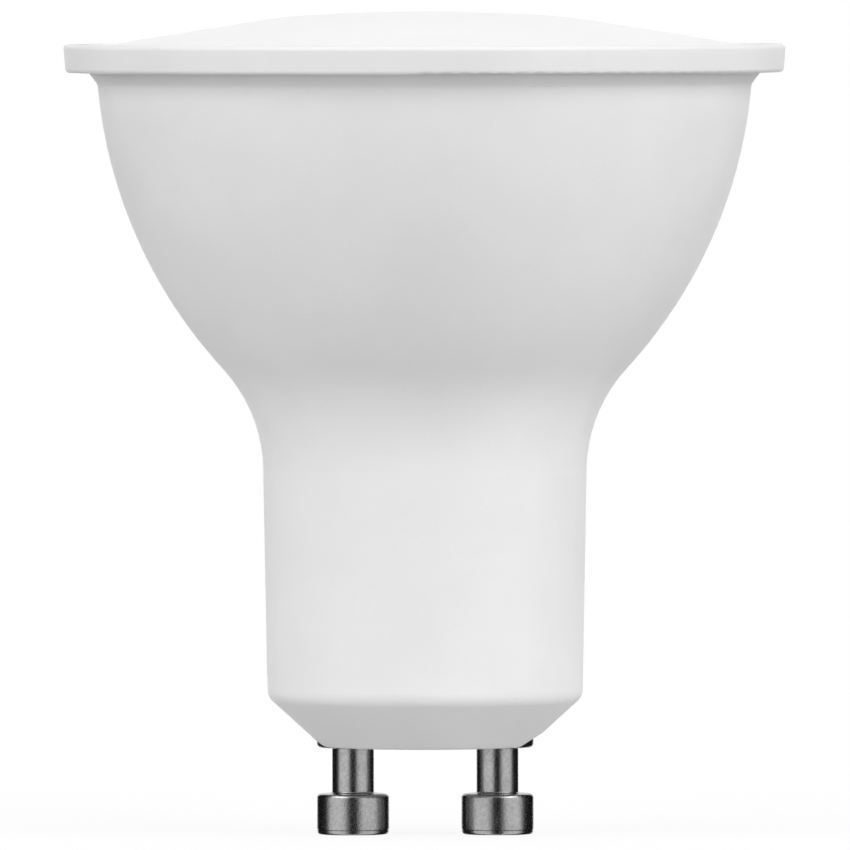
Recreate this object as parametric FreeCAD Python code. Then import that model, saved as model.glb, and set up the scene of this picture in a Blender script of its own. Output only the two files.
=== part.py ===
import FreeCAD, Part
import math
import os

# Reflector lamp with a two-pin twist-lock base. Lengths are millimetres, angles degrees.
# Z is the lamp's axis and points out of its light-giving face. z = 0 is at the ends of the
# two pins, and the pins stand on the X axis.

# Contact pins
pin_spacing = 10.0
pin_length = 6.1
pin_head_radius = 2.5
pin_head_height = 2.8
pin_head_rounding = 0.3
pin_foot_inset = 0.06
pin_foot_flare = 0.04
pin_foot_rounding = 0.18
pin_groove_low = 0.3
pin_groove_width = 0.08
pin_groove_depth = 0.06
pin_shoulder_slope = 5.0
pin_shank_radius = 1.45
pin_shank_fillet = 0.1
pin_collar_radius = 2.5
pin_collar_height = 1.1
pin_collar_proud = 0.1
pin_collar_rounding = 0.3
pin_tail_radius = 1.25
pin_swage_radius = 1.9
pin_swage_height = 0.6
pin_bore_radius = 0.8
pin_bore_depth = 4.0
pin_clearance = 0.05

# How far a cut runs past the faces that it goes through
cut_overrun = 1.0

# Outside of the housing, from the base face to the flange
base_face_radius = 7.12
base_face_rounding = 0.4
base_cone_height = 3.45
base_corner_radius = 1.15
neck_radius = 10.91
neck_draft = 1.03
neck_fillet_radius = 10.44
bowl_arc_radius = 33.26
bowl_rim_radius = 22.69
bowl_rim_angle = 3.45
body_height = 46.65
flange_overhang = 2.31
flange_draft = 4.7
flange_thickness = 1.95
flange_root_width = 0.62
flange_root_height = 0.82
flange_root_rounding = 0.25
flange_rounding = 0.3

# Recess round the collar of the right pin
relief_radius = 3.25
relief_depth = 0.63
relief_slope = 25.0

# Inside of the housing
wall = 1.4
base_floor = 2.4
pin_boss_wall = 1.3
pin_boss_height = 3.0
barrier_thickness = 1.2
barrier_height = 3.6
rail_thickness = 1.0
rail_grip = 1.2
rail_top_gap = 4.7
rail_clearance = 0.1
gusset_count = 3
gusset_thickness = 1.2
gusset_reach = 4.2
gusset_height = 8.0
gusset_first_angle = 30.0
screw_boss_radius = 2.4
screw_boss_height = 10.0

# Diffuser, snapped into the flange
seat_step = 0.81
diffuser_clearance = 0.1
diffuser_wall = 1.0
dome_rim_width = 1.85
dome_flank_width = 10.45
dome_flank_angle = 9.1
dome_knee_radius = 30.0
dome_crown_angle = 3.7
hook_count = 4
hook_first_angle = 45.0
hook_angle = 16.0
hook_thickness = 0.8
hook_length = 4.4
hook_barb = 0.4
hook_barb_height = 1.0
hook_tip = 0.7
hook_root_depth = 0.75
hook_pocket_rise = 0.35

# Aluminium dish that carries the light board and passes its heat to the wall
dish_depth = 10.7
dish_sheet = 1.0
dish_height = 4.7
dish_clearance = 0.1
dish_bend_radius = 1.0

# Light board
light_board_thickness = 1.0
light_board_clearance = 0.15
led_count = 12
led_screw_gap = 0.6
led_length = 3.5
led_width = 2.8
led_height = 0.7
led_window_radius = 1.05
led_window_depth = 0.15

# Screws that hold the light board and the dish down on the bosses
screw_count = 3
screw_first_angle = 90.0
screw_edge_distance = 2.3
screw_radius = 0.85
screw_length = 6.0
screw_tip_chamfer = 0.4
screw_clearance = 0.05
screw_hole_clearance = 0.2
screw_head_radius = 1.8
screw_head_height = 1.3
screw_head_rounding = 0.5
screw_slot_length = 2.2
screw_slot_width = 0.5
screw_slot_depth = 0.7

# Driver board, a narrow stem in the neck with a wide head in the bowl
board_thickness = 1.0
board_edge_clearance = 0.4
board_pin_gap = 0.6
board_top_gap = 3.0
board_head_height = 7.6
board_head_clearance = 0.8
board_corner = 1.0
lead_radius = 0.3
lead_hole_clearance = 0.15
lead_stub = 0.8
lead_root = 0.6
lead_bend_radius = 0.9
lead_straight = 0.6

# Fusible resistor in its sleeve, standing on the right pin
resistor_radius = 1.6
resistor_length = 8.0
resistor_rounding = 0.5
sleeve_wall = 0.35
sleeve_clearance = 0.05
sleeve_overhang = 0.6
resistor_lift = 1.4
resistor_depth_in_pin = 2.8
seat_gap = 0.05

# Bare wire from the left pin to the board
neutral_wire_radius = 0.5
neutral_bend_radius = 1.2
neutral_rise = 1.6
neutral_depth_in_pin = 2.6

# Input capacitor, lying in the neck
input_cap_radius = 4.0
input_cap_length = 11.0
input_cap_x = -2.0
input_cap_lift = 2.5
input_cap_pitch = 3.5

# Can of either electrolytic capacitor
cap_rounding = 0.5
cap_groove_depth = 0.35
cap_groove_height = 0.8
cap_groove_distance = 1.6
cap_cover_rim = 0.9
cap_cover_depth = 0.3

# Parts that stand side by side on the board's head
head_part_gap = 0.6
output_cap_radius = 2.5
output_cap_height = 7.0
output_cap_x = -1.2
output_cap_pitch = 2.0
film_cap_width = 5.5
film_cap_thickness = 3.6
film_cap_height = 7.5
film_cap_rounding = 0.6
film_cap_pitch = 3.8
choke_flange_radius = 3.7
choke_flange_thickness = 0.9
choke_hub_radius = 1.6
choke_height = 6.6
choke_winding_radius = 3.3
choke_winding_gap = 0.05
choke_lead_pitch = 5.0

# Surface parts on the board's back
rectifier_width = 3.9
rectifier_length = 4.7
rectifier_height = 2.3
rectifier_leg_pitch = 2.5
rectifier_lift = 5.0
driver_chip_width = 3.9
driver_chip_length = 4.9
driver_chip_height = 1.45
driver_chip_leg_pitch = 1.27
driver_chip_leg_rows = 4
driver_chip_lift = 10.9
diode_width = 2.6
diode_length = 4.3
diode_height = 2.1
diode_x = 5.4
diode_lift = 16.2
leg_reach = 1.0
leg_rise = 0.6
leg_foot = 0.6
leg_width = 0.45
leg_thickness = 0.2
chip_resistor_count = 5
chip_resistor_length = 2.0
chip_resistor_width = 1.25
chip_resistor_height = 0.55
chip_resistor_spacing = 2.4
chip_resistor_x = -6.2
chip_resistor_lift = 5.0
chip_resistor_cap = 0.4
chip_resistor_cap_rise = 0.05

# Insulated wires from the driver board up to the light board
lead_wire_radius = 0.5
lead_wire_core_radius = 0.25
lead_wire_spacing = 1.6
lead_wire_start = 2.6
lead_wire_hole_radius = 2.3
lead_wire_gap = 0.05
lead_wire_turn_gap = 0.1
lead_wire_run = 0.6
lead_wire_bare = 0.7

# Radii and levels that follow from the sizes above
flange_radius = bowl_rim_radius + flange_overhang
seat_radius = bowl_rim_radius + seat_step
dome_radius = seat_radius - dome_rim_width
face_z = pin_length
floor_z = face_z + base_floor
corner_z = face_z + base_cone_height
rim_z = face_z + body_height
top_z = rim_z + flange_thickness
ledge_z = top_z - diffuser_wall
pin_seat_z = face_z + pin_collar_height
pin_boss_z = floor_z + pin_boss_height
pin_top_z = pin_boss_z + pin_swage_height
dish_z = top_z - dish_depth
light_board_z = dish_z + dish_sheet
light_face_z = light_board_z + light_board_thickness
board_bottom_z = pin_top_z + board_pin_gap
board_top_z = dish_z - board_top_gap
board_head_z = board_top_z - board_head_height
head_middle_z = board_top_z - board_head_height / 2

AXIS = FreeCAD.Vector(0, 0, 1)
ORIGIN = FreeCAD.Vector(0, 0, 0)
TO_BACK = FreeCAD.Vector(0, -1, 0)


def point(r, z):
    """A point of an outline at radius r and height z."""
    return FreeCAD.Vector(r, 0, z)


def at(x, y, z):
    """A point of the lamp."""
    return FreeCAD.Vector(x, y, z)


def tangent(angle):
    return math.tan(math.radians(angle))


def polygon(points):
    """The closed face through the points, in order."""
    return Part.Face(Part.makePolygon(list(points) + [points[0]]))


def turned(outline):
    """The solid that an outline, given as (r, z) pairs, sweeps round the lamp's axis."""
    return polygon([point(r, z) for r, z in outline]).revolve(ORIGIN, AXIS, 360)


def block(x_low, x_high, y_low, y_high, z_low, z_high):
    corner = at(x_low, y_low, z_low)
    return Part.makeBox(x_high - x_low, y_high - y_low, z_high - z_low, corner)


def rod(radius, start, end):
    """A round bar between two points."""
    run = end - start
    return Part.makeCylinder(radius, run.Length, start, run)


def tube(outer_radius, inner_radius, start, end):
    return rod(outer_radius, start, end).cut(rod(inner_radius, start, end))


def moved(shape, x=0.0, y=0.0, z=0.0):
    return shape.translated(at(x, y, z))


def around(shape, count, first_angle=0.0):
    """Copies of a shape, evenly spaced round the lamp's axis."""
    copies = []
    for number in range(count):
        copy = shape.copy()
        copy.rotate(ORIGIN, AXIS, first_angle + 360 * number / count)
        copies.append(copy)
    return copies


def rounded(shape, radius, *rings):
    """The shape with its circular edges at the given (r, z) places rounded."""
    edges = []
    for edge in shape.Edges:
        if not isinstance(edge.Curve, Part.Circle):
            continue
        for r, z in rings:
            same_r = abs(edge.Curve.Radius - r) < 1e-4
            if same_r and abs(edge.Curve.Center.z - z) < 1e-4:
                edges.append(edge)
    return shape.makeFillet(radius, edges)


def bent_wire(radius, bend_radius, points):
    """A round wire through the points, with an arc of the bend radius at each turn."""
    edges = []
    start = points[0]
    for before, corner, after in zip(points, points[1:], points[2:]):
        come = (corner - before).normalize()
        go = (after - corner).normalize()
        turn = come.getAngle(go)
        reach = bend_radius * math.tan(turn / 2)
        enter = corner - come * reach
        leave = corner + go * reach
        inward = (go - come).normalize()
        sagitta = bend_radius / math.cos(turn / 2) - bend_radius
        edges.append(Part.makeLine(start, enter))
        edges.append(Part.Arc(enter, corner + inward * sagitta, leave).toShape())
        start = leave
    edges.append(Part.makeLine(start, points[-1]))
    section = Part.Wire(Part.makeCircle(radius, points[0], points[1] - points[0]))
    return Part.Wire(edges).makePipeShell([section], True, False)


# Outline of the neck and bowl. Each curve is the outer one moved inwards by an inset, so the
# wall, the dish and whatever touches the wall keep one form.

def neck_line(z, inset):
    """Radius of the drafted neck at height z."""
    level_inset = inset / math.cos(math.radians(neck_draft))
    return neck_radius + (z - corner_z) * tangent(neck_draft) - level_inset


def bowl_centre():
    angle = math.radians(bowl_rim_angle)
    r = bowl_rim_radius - bowl_arc_radius * math.cos(angle)
    return point(r, rim_z + bowl_arc_radius * math.sin(angle))


def neck_fillet_centre():
    """Centre of the arc that touches both the neck's line and the bowl's arc from outside."""
    bowl = bowl_centre()
    slope = tangent(neck_draft)
    foot = neck_line(0, 0) + neck_fillet_radius / math.cos(math.radians(neck_draft))
    distance = bowl_arc_radius + neck_fillet_radius
    a = 1 + slope ** 2
    half_b = slope * (foot - bowl.x) - bowl.z
    c = (foot - bowl.x) ** 2 + bowl.z ** 2 - distance ** 2
    z = (-half_b - math.sqrt(half_b ** 2 - a * c)) / a
    return point(foot + slope * z, z)


def bowl_radius(z, inset):
    """Radius of the bowl's arc at height z."""
    centre = bowl_centre()
    return centre.x + math.sqrt((bowl_arc_radius - inset) ** 2 - (z - centre.z) ** 2)


def neck_and_bowl(inset, start, end_z):
    """Edges from a start point on the neck's line, round the neck's arc and up the bowl."""
    bowl = bowl_centre()
    fillet = neck_fillet_centre()
    draft = math.radians(neck_draft)
    fillet_radius = neck_fillet_radius + inset
    to_neck = point(-math.cos(draft), math.sin(draft))
    to_bowl = (bowl - fillet).normalize()
    to_middle = (to_neck + to_bowl).normalize()
    neck_end = fillet + to_neck * fillet_radius
    bowl_start = fillet + to_bowl * fillet_radius
    bowl_end = point(bowl_radius(end_z, inset), end_z)
    middle_z = (bowl_start.z + end_z) / 2
    bowl_middle = point(bowl_radius(middle_z, inset), middle_z)
    neck_edge = Part.makeLine(start, neck_end)
    fillet_edge = Part.Arc(neck_end, fillet + to_middle * fillet_radius, bowl_start).toShape()
    bowl_edge = Part.Arc(bowl_start, bowl_middle, bowl_end).toShape()
    return [neck_edge, fillet_edge, bowl_edge]


def turned_body(inset, low_points, end_z, high_points):
    """The solid turned from low points, the neck and bowl's curves, and high points."""
    curves = neck_and_bowl(inset, low_points[-1], end_z)
    bowl_end = point(bowl_radius(end_z, inset), end_z)
    low = [Part.makeLine(a, b) for a, b in zip(low_points, low_points[1:])]
    ring = [bowl_end] + high_points + [low_points[0]]
    high = [Part.makeLine(a, b) for a, b in zip(ring, ring[1:])]
    return Part.Face(Part.Wire(low + curves + high)).revolve(ORIGIN, AXIS, 360)


def outer_body():
    """The housing's outside as a full solid, with a short cone where the bowl meets the flange."""
    root_z = rim_z - flange_root_height
    root_radius = bowl_radius(root_z, 0)
    root_top_radius = root_radius + flange_root_width
    flange_low_radius = flange_radius - flange_thickness * tangent(flange_draft)
    low = [point(0, face_z), point(base_face_radius, face_z), point(neck_radius, corner_z)]
    high = [
        point(root_top_radius, rim_z),
        point(flange_low_radius, rim_z),
        point(flange_radius, top_z),
        point(0, top_z),
    ]
    body = turned_body(0, low, root_z, high)
    body = rounded(body, base_corner_radius, (neck_radius, corner_z))
    body = rounded(body, base_face_rounding, (base_face_radius, face_z))
    body = rounded(body, flange_root_rounding, (root_radius, root_z), (root_top_radius, rim_z))
    return rounded(body, flange_rounding, (flange_low_radius, rim_z), (flange_radius, top_z))


def cavity():
    """The space inside the wall, with the seat for the diffuser at its mouth."""
    run_r = neck_radius - base_face_radius
    length = math.hypot(run_r, base_cone_height)
    cone_r = base_face_radius - wall * base_cone_height / length
    cone_z = face_z + wall * run_r / length
    floor_r = cone_r + (floor_z - cone_z) * run_r / base_cone_height
    slope = run_r / base_cone_height
    draft = tangent(neck_draft)
    neck_z = (neck_line(0, wall) - cone_r + cone_z * slope) / (slope - draft)
    low = [point(0, floor_z), point(floor_r, floor_z), point(neck_line(neck_z, wall), neck_z)]
    mouth_z = top_z + flange_thickness
    high = [point(seat_radius, ledge_z), point(seat_radius, mouth_z), point(0, mouth_z)]
    return turned_body(wall, low, ledge_z, high)


def pin_places():
    return [-pin_spacing / 2, pin_spacing / 2]


def board_front_y():
    """The driver board stands just behind the sleeve of the resistor on the right pin."""
    return -(resistor_radius + sleeve_clearance + sleeve_wall + seat_gap)


def board_back_y():
    return board_front_y() - board_thickness


def board_half_width():
    """Half the stem's width, as far as the neck leaves room at the board's back."""
    return math.sqrt(neck_line(board_bottom_z, wall) ** 2 - board_back_y() ** 2) - board_edge_clearance


def board_head_half_width():
    room = bowl_radius(board_head_z, wall)
    neck_room = neck_fillet_room(board_head_z)
    return math.sqrt(min(room, neck_room) ** 2 - board_back_y() ** 2) - board_head_clearance


def neck_fillet_room(z):
    """Inner radius on the neck's arc at height z, or the bowl's above it."""
    centre = neck_fillet_centre()
    radius = neck_fillet_radius + wall
    if z > centre.z + radius:
        return bowl_radius(z, wall)
    return centre.x - math.sqrt(radius ** 2 - (z - centre.z) ** 2)


def dish_floor_radius():
    """Radius of the flat inside the dish."""
    inset = wall + dish_clearance + dish_sheet
    return bowl_radius(light_board_z, inset) - dish_bend_radius


def light_board_radius():
    return dish_floor_radius() - light_board_clearance


def screw_places():
    """Points of the screw axes, at height zero."""
    radius = light_board_radius() - screw_edge_distance
    spots = []
    for number in range(screw_count):
        angle = math.radians(screw_first_angle + 360 * number / screw_count)
        spots.append(at(radius * math.cos(angle), radius * math.sin(angle), 0))
    return spots


def hook_outer_radius():
    """Outside of a hook's leg, clear of the wall at the hook's lower end."""
    return bowl_radius(ledge_z - hook_length, wall) - diffuser_clearance


def ring_segment(outline, angle):
    """A turned shape over a short angle, centred on the X axis."""
    face = polygon([point(r, z) for r, z in outline])
    face.rotate(ORIGIN, AXIS, -angle / 2)
    return face.revolve(ORIGIN, AXIS, angle)


def hook_pocket():
    """The pocket in the wall behind a hook's barb."""
    outer = hook_outer_radius() + hook_barb + diffuser_clearance
    inner = hook_outer_radius() - hook_thickness
    low = ledge_z - hook_length + hook_pocket_rise - diffuser_clearance
    high = ledge_z - hook_length + hook_tip + hook_barb_height + diffuser_clearance
    side_clearance = math.degrees(diffuser_clearance / inner)
    outline = [(inner, low), (outer, low), (outer, high), (inner, high)]
    return ring_segment(outline, hook_angle + 2 * side_clearance)


def pin_bosses(outside):
    """The base floor's bosses round the pins and the barrier between them."""
    shapes = []
    radius = pin_tail_radius + pin_clearance + pin_boss_wall
    for x in pin_places():
        shapes.append(rod(radius, at(x, 0, pin_seat_z), at(x, 0, pin_boss_z)))
    half = barrier_thickness / 2
    shapes.append(block(-half, half, -neck_radius, neck_radius, pin_seat_z, floor_z + barrier_height))
    return [shape.common(outside) for shape in shapes]


def board_rails(outside):
    """The two slotted rails in the neck that the driver board slides down into."""
    front = board_front_y() + rail_clearance
    back = board_back_y() - rail_clearance
    edge = board_half_width() + rail_clearance
    inner = board_half_width() - rail_grip
    high = board_head_z - board_corner - rail_top_gap
    rail = block(inner, neck_radius + wall, back - rail_thickness, front + rail_thickness, floor_z, high)
    slot = block(0, edge, back, front, board_bottom_z, high)
    right = rail.cut(slot)
    left = right.mirror(ORIGIN, at(1, 0, 0))
    return [right.common(outside), left.common(outside)]


def dish_supports(outside):
    """Screw bosses and gussets under the dish, grown out of the bowl's wall."""
    shapes = []
    for spot in screw_places():
        low = at(spot.x, spot.y, dish_z - screw_boss_height)
        shapes.append(rod(screw_boss_radius, low, at(spot.x, spot.y, dish_z)))
    half = gusset_thickness / 2
    outer = bowl_radius(dish_z, wall / 2)
    low_z = dish_z - gusset_height
    web = polygon([
        at(outer - gusset_reach, half, dish_z),
        at(outer, half, dish_z),
        at(outer, half, low_z),
        at(bowl_radius(low_z, wall / 2), half, low_z),
    ]).extrude(at(0, -gusset_thickness, 0))
    shapes += around(web, gusset_count, gusset_first_angle)
    return [shape.common(outside) for shape in shapes]


def relief_recess():
    """The shallow countersink round the right pin's collar."""
    inner = pin_collar_radius + pin_clearance
    low = face_z - relief_depth
    inner_z = face_z + relief_depth
    outer_z = inner_z + (relief_radius - inner) * tangent(relief_slope)
    outline = [(0, low), (relief_radius, low), (relief_radius, outer_z), (inner, inner_z), (0, inner_z)]
    return moved(turned(outline), x=pin_spacing / 2)


def housing():
    """Moulded shell: base, neck, bowl and flange, with its bosses, rails, ribs and pockets."""
    outside = outer_body()
    shell = outside.cut(cavity())
    inside = pin_bosses(outside) + board_rails(outside) + dish_supports(outside)
    shell = shell.fuse(inside)
    cuts = around(hook_pocket(), hook_count, hook_first_angle)
    cuts.append(relief_recess())
    for x in pin_places():
        low = at(x, 0, face_z - relief_depth)
        cuts.append(rod(pin_collar_radius + pin_clearance, low, at(x, 0, pin_seat_z)))
        cuts.append(rod(pin_tail_radius + pin_clearance, low, at(x, 0, pin_top_z)))
    depth = screw_length - dish_sheet - light_board_thickness + screw_hole_clearance
    for spot in screw_places():
        top = at(spot.x, spot.y, dish_z)
        cuts.append(rod(screw_radius + screw_clearance, top - AXIS * depth, top + AXIS * cut_overrun))
    return shell.cut(cuts).removeSplitter()


def contact_pin():
    """Turned pin with a grooved head, a shank, a collar sunk in the base and a swaged tail inside."""
    foot_radius = pin_head_radius - pin_foot_inset
    shoulder_z = pin_head_height + (pin_head_radius - pin_shank_radius) * tangent(pin_shoulder_slope)
    collar_z = face_z - pin_collar_proud
    outline = [
        (0, 0),
        (foot_radius, 0),
        (foot_radius + pin_foot_flare, pin_groove_low),
        (pin_head_radius - pin_groove_depth, pin_groove_low + pin_groove_width / 2),
        (pin_head_radius, pin_groove_low + pin_groove_width),
        (pin_head_radius, pin_head_height),
        (pin_shank_radius, shoulder_z),
        (pin_shank_radius, collar_z),
        (pin_collar_radius, collar_z),
        (pin_collar_radius, pin_seat_z),
        (pin_tail_radius, pin_seat_z),
        (pin_tail_radius, pin_boss_z),
        (pin_swage_radius, pin_boss_z),
        (pin_swage_radius, pin_top_z),
        (pin_bore_radius, pin_top_z),
        (pin_bore_radius, pin_top_z - pin_bore_depth),
        (0, pin_top_z - pin_bore_depth),
    ]
    pin = turned(outline)
    pin = rounded(pin, pin_foot_rounding, (foot_radius, 0))
    pin = rounded(pin, pin_head_rounding, (pin_head_radius, pin_head_height))
    pin = rounded(pin, pin_collar_rounding, (pin_collar_radius, collar_z))
    return rounded(pin, pin_shank_fillet, (pin_shank_radius, shoulder_z))


def slope_normal(angle):
    """The upward normal of a surface that falls away from the lamp's axis at the angle."""
    slope = math.radians(angle)
    return point(math.sin(slope), math.cos(slope))


def dome_knee():
    """Centre of the arc between the dome's conical flank and its crown."""
    rise = dome_flank_width * tangent(dome_flank_angle)
    flank_end = point(dome_radius - dome_flank_width, top_z + rise)
    return flank_end - slope_normal(dome_flank_angle) * dome_knee_radius


def dome_crown():
    """Centre and radius of the crown's arc, which is level on the lamp's axis."""
    normal = slope_normal(dome_crown_angle)
    start = dome_knee() + normal * dome_knee_radius
    radius = start.x / normal.x
    return start - normal * radius, radius


def dome_curve(inset, foot):
    """Edges from the dome's foot up the flank, over the knee and along the crown to the axis."""
    knee = dome_knee()
    crown, radius = dome_crown()
    knee_radius = dome_knee_radius - inset
    crown_radius = radius - inset
    middle_angle = (dome_flank_angle + dome_crown_angle) / 2
    knee_start = knee + slope_normal(dome_flank_angle) * knee_radius
    knee_middle = knee + slope_normal(middle_angle) * knee_radius
    crown_start = knee + slope_normal(dome_crown_angle) * knee_radius
    crown_middle = crown + slope_normal(dome_crown_angle / 2) * crown_radius
    return [
        Part.makeLine(foot, knee_start),
        Part.Arc(knee_start, knee_middle, crown_start).toShape(),
        Part.Arc(crown_start, crown_middle, crown + AXIS * crown_radius).toShape(),
    ]


def diffuser():
    """Opal dome with a flat rim and snap hooks under it."""
    rim = seat_radius - diffuser_clearance
    lip = dome_radius - diffuser_wall * tangent(dome_flank_angle / 2)
    crown, radius = dome_crown()
    top = crown + AXIS * radius
    edges = [Part.makeLine(point(rim, top_z), point(dome_radius, top_z))]
    edges += dome_curve(0, point(dome_radius, top_z))
    edges.append(Part.makeLine(top, top - AXIS * diffuser_wall))
    edges += reversed(dome_curve(diffuser_wall, point(lip, ledge_z)))
    edges.append(Part.makeLine(point(lip, ledge_z), point(rim, ledge_z)))
    edges.append(Part.makeLine(point(rim, ledge_z), point(rim, top_z)))
    shell = Part.Face(Part.Wire(edges)).revolve(ORIGIN, AXIS, 360)
    hooks = around(diffuser_hook(), hook_count, hook_first_angle)
    return shell.fuse(hooks).removeSplitter()


def diffuser_hook():
    """A leg under the rim with a barb that snaps into the wall's pocket."""
    outer = hook_outer_radius()
    inner = outer - hook_thickness
    low = ledge_z - hook_length
    barb_z = low + hook_tip
    root_z = ledge_z + hook_root_depth
    return ring_segment([
        (inner, low),
        (outer - hook_barb, low),
        (outer + hook_barb, barb_z),
        (outer + hook_barb, barb_z + hook_barb_height),
        (outer, barb_z + hook_barb_height),
        (outer, root_z),
        (inner, root_z),
    ], hook_angle)


def heat_spreader():
    """Pressed aluminium dish, with a flared side that follows the bowl's wall."""
    side = wall + dish_clearance
    rim = dish_z + dish_height
    outside = dish_solid(side, dish_z, rim, dish_bend_radius + dish_sheet)
    inside = dish_solid(side + dish_sheet, light_board_z, rim, dish_bend_radius)
    dish = outside.cut(inside)
    return dish.cut([lead_wire_hole(dish_z)] + screw_holes(dish_z, light_board_z))


def screw_holes(low_z, high_z):
    """Clearance holes for the screws through a plate between two levels."""
    radius = screw_radius + screw_hole_clearance
    low = AXIS * (low_z - cut_overrun)
    high = AXIS * (high_z + cut_overrun)
    return [rod(radius, spot + low, spot + high) for spot in screw_places()]


def dish_solid(inset, low_z, high_z, bend):
    """A full dish with its side on the bowl's curve at an inset and a rounded lower edge."""
    low_r = bowl_radius(low_z, inset)
    high_r = bowl_radius(high_z, inset)
    middle_z = (low_z + high_z) / 2
    middle = point(bowl_radius(middle_z, inset), middle_z)
    edges = [
        Part.makeLine(point(0, low_z), point(low_r, low_z)),
        Part.Arc(point(low_r, low_z), middle, point(high_r, high_z)).toShape(),
        Part.makeLine(point(high_r, high_z), point(0, high_z)),
        Part.makeLine(point(0, high_z), point(0, low_z)),
    ]
    return rounded(Part.Face(Part.Wire(edges)).revolve(ORIGIN, AXIS, 360), bend, (low_r, low_z))


def lead_wire_y():
    """The insulated wires run up behind the driver board."""
    return board_back_y() - lead_wire_gap - lead_wire_radius


def lead_wire_hole(low_z):
    """The hole for the two wires, from below a plate to above the light board."""
    start = at(0, lead_wire_y(), low_z - cut_overrun)
    return rod(lead_wire_hole_radius, start, at(0, lead_wire_y(), light_face_z + cut_overrun))


def light_board():
    """Round aluminium-core board."""
    plate = rod(light_board_radius(), AXIS * light_board_z, AXIS * light_face_z)
    return plate.cut([lead_wire_hole(light_board_z)] + screw_holes(light_board_z, light_face_z))


def led_circle_radius():
    """The packages stand in a ring just inside the screws' heads."""
    screw_circle = light_board_radius() - screw_edge_distance
    return screw_circle - screw_head_radius - led_screw_gap - led_length / 2


def light_packages():
    """The ring of light-emitting packages, each with a round window."""
    r = led_circle_radius()
    top = light_face_z + led_height
    half_length = led_length / 2
    half_width = led_width / 2
    body = block(r - half_length, r + half_length, -half_width, half_width, light_face_z, top)
    window = rod(led_window_radius, point(r, top - led_window_depth), point(r, top + cut_overrun))
    return Part.makeCompound(around(body.cut(window), led_count, 180 / led_count))


def board_screws():
    """Pan-head screws with a cross recess."""
    tip = light_face_z - screw_length
    head_top = light_face_z + screw_head_height
    screws = []
    for spot in screw_places():
        shank = rod(screw_radius, AXIS * tip, AXIS * light_face_z)
        shank = shank.makeChamfer(screw_tip_chamfer, [shank.Edges[2]])
        head = rod(screw_head_radius, AXIS * light_face_z, AXIS * head_top)
        head = rounded(head, screw_head_rounding, (screw_head_radius, head_top))
        screw = shank.fuse(head)
        long = screw_slot_length / 2
        short = screw_slot_width / 2
        low = head_top - screw_slot_depth
        high = head_top + cut_overrun
        slot = block(-long, long, -short, short, low, high)
        cross = block(-short, short, -long, long, low, high)
        screw = screw.cut([slot, cross]).removeSplitter()
        screws.append(moved(screw, spot.x, spot.y))
    return Part.makeCompound(screws)


# Places on the driver board

def input_cap_y():
    return board_front_y() + seat_gap + input_cap_radius


def input_cap_top_z():
    return board_bottom_z + input_cap_lift + input_cap_length


def resistor_bottom_z():
    return pin_top_z + resistor_lift


def film_cap_x():
    return output_cap_x - output_cap_radius - head_part_gap - film_cap_width / 2


def choke_x():
    return output_cap_x + output_cap_radius + head_part_gap + choke_flange_radius


def pair(x, z, pitch):
    """Two places beside each other on the board."""
    return [(x - pitch / 2, z), (x + pitch / 2, z)]


def input_cap_lead_z():
    return input_cap_top_z() + lead_straight + lead_bend_radius


def resistor_lead_z():
    sleeve_top = resistor_bottom_z() + resistor_length + sleeve_overhang
    return sleeve_top + lead_radius + lead_bend_radius


def neutral_z():
    return board_bottom_z + neutral_rise


def thin_lead_places():
    """Where the leads of the parts on the front go through the board."""
    places = pair(input_cap_x, input_cap_lead_z(), input_cap_pitch)
    places += pair(output_cap_x, head_middle_z, output_cap_pitch)
    places += pair(film_cap_x(), head_middle_z, film_cap_pitch)
    places += pair(choke_x(), head_middle_z, choke_lead_pitch)
    places.append((pin_spacing / 2, resistor_lead_z()))
    return places


def straight_leads(x, z, pitch, radius, from_y):
    """Two straight leads from a part on the front to just behind the board."""
    end_y = board_back_y() - lead_stub
    return [rod(radius, at(a, from_y, b), at(a, end_y, b)) for a, b in pair(x, z, pitch)]


def driver_board():
    """Glass-fibre board with its lead holes."""
    stem = board_half_width()
    head = board_head_half_width()
    outline = [
        (-stem + board_corner, board_bottom_z),
        (stem - board_corner, board_bottom_z),
        (stem, board_bottom_z + board_corner),
        (stem, board_head_z - board_corner),
        (head, board_head_z + board_corner),
        (head, board_top_z),
        (-head, board_top_z),
        (-head, board_head_z + board_corner),
        (-stem, board_head_z - board_corner),
        (-stem, board_bottom_z + board_corner),
    ]
    front = board_front_y()
    plate = polygon([at(x, front, z) for x, z in outline]).extrude(TO_BACK * board_thickness)
    holes = []
    for x, z in thin_lead_places():
        holes.append(board_hole(x, z, lead_radius))
    holes.append(board_hole(-pin_spacing / 2, neutral_z(), neutral_wire_radius))
    return plate.cut(holes)


def board_hole(x, z, radius):
    start = at(x, board_front_y() + cut_overrun, z)
    return rod(radius + lead_hole_clearance, start, at(x, board_back_y() - cut_overrun, z))


def fusible_resistor():
    """Axial resistor whose lower lead stands in the right pin."""
    x = pin_spacing / 2
    low = resistor_bottom_z()
    high = low + resistor_length
    body = rod(resistor_radius, point(x, low), point(x, high))
    body = body.makeFillet(resistor_rounding, [body.Edges[0], body.Edges[2]])
    lower = rod(lead_radius, point(x, pin_top_z - resistor_depth_in_pin), point(x, low + lead_root))
    upper = bent_wire(lead_radius, lead_bend_radius, [
        point(x, high - lead_root),
        point(x, resistor_lead_z()),
        at(x, board_back_y() - lead_stub, resistor_lead_z()),
    ])
    return body.fuse([lower, upper]).removeSplitter()


def fuse_sleeve():
    """Shrunk sleeve over the resistor."""
    x = pin_spacing / 2
    inner = resistor_radius + sleeve_clearance
    low = resistor_bottom_z() - sleeve_overhang
    high = resistor_bottom_z() + resistor_length + sleeve_overhang
    return tube(inner + sleeve_wall, inner, point(x, low), point(x, high))


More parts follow.
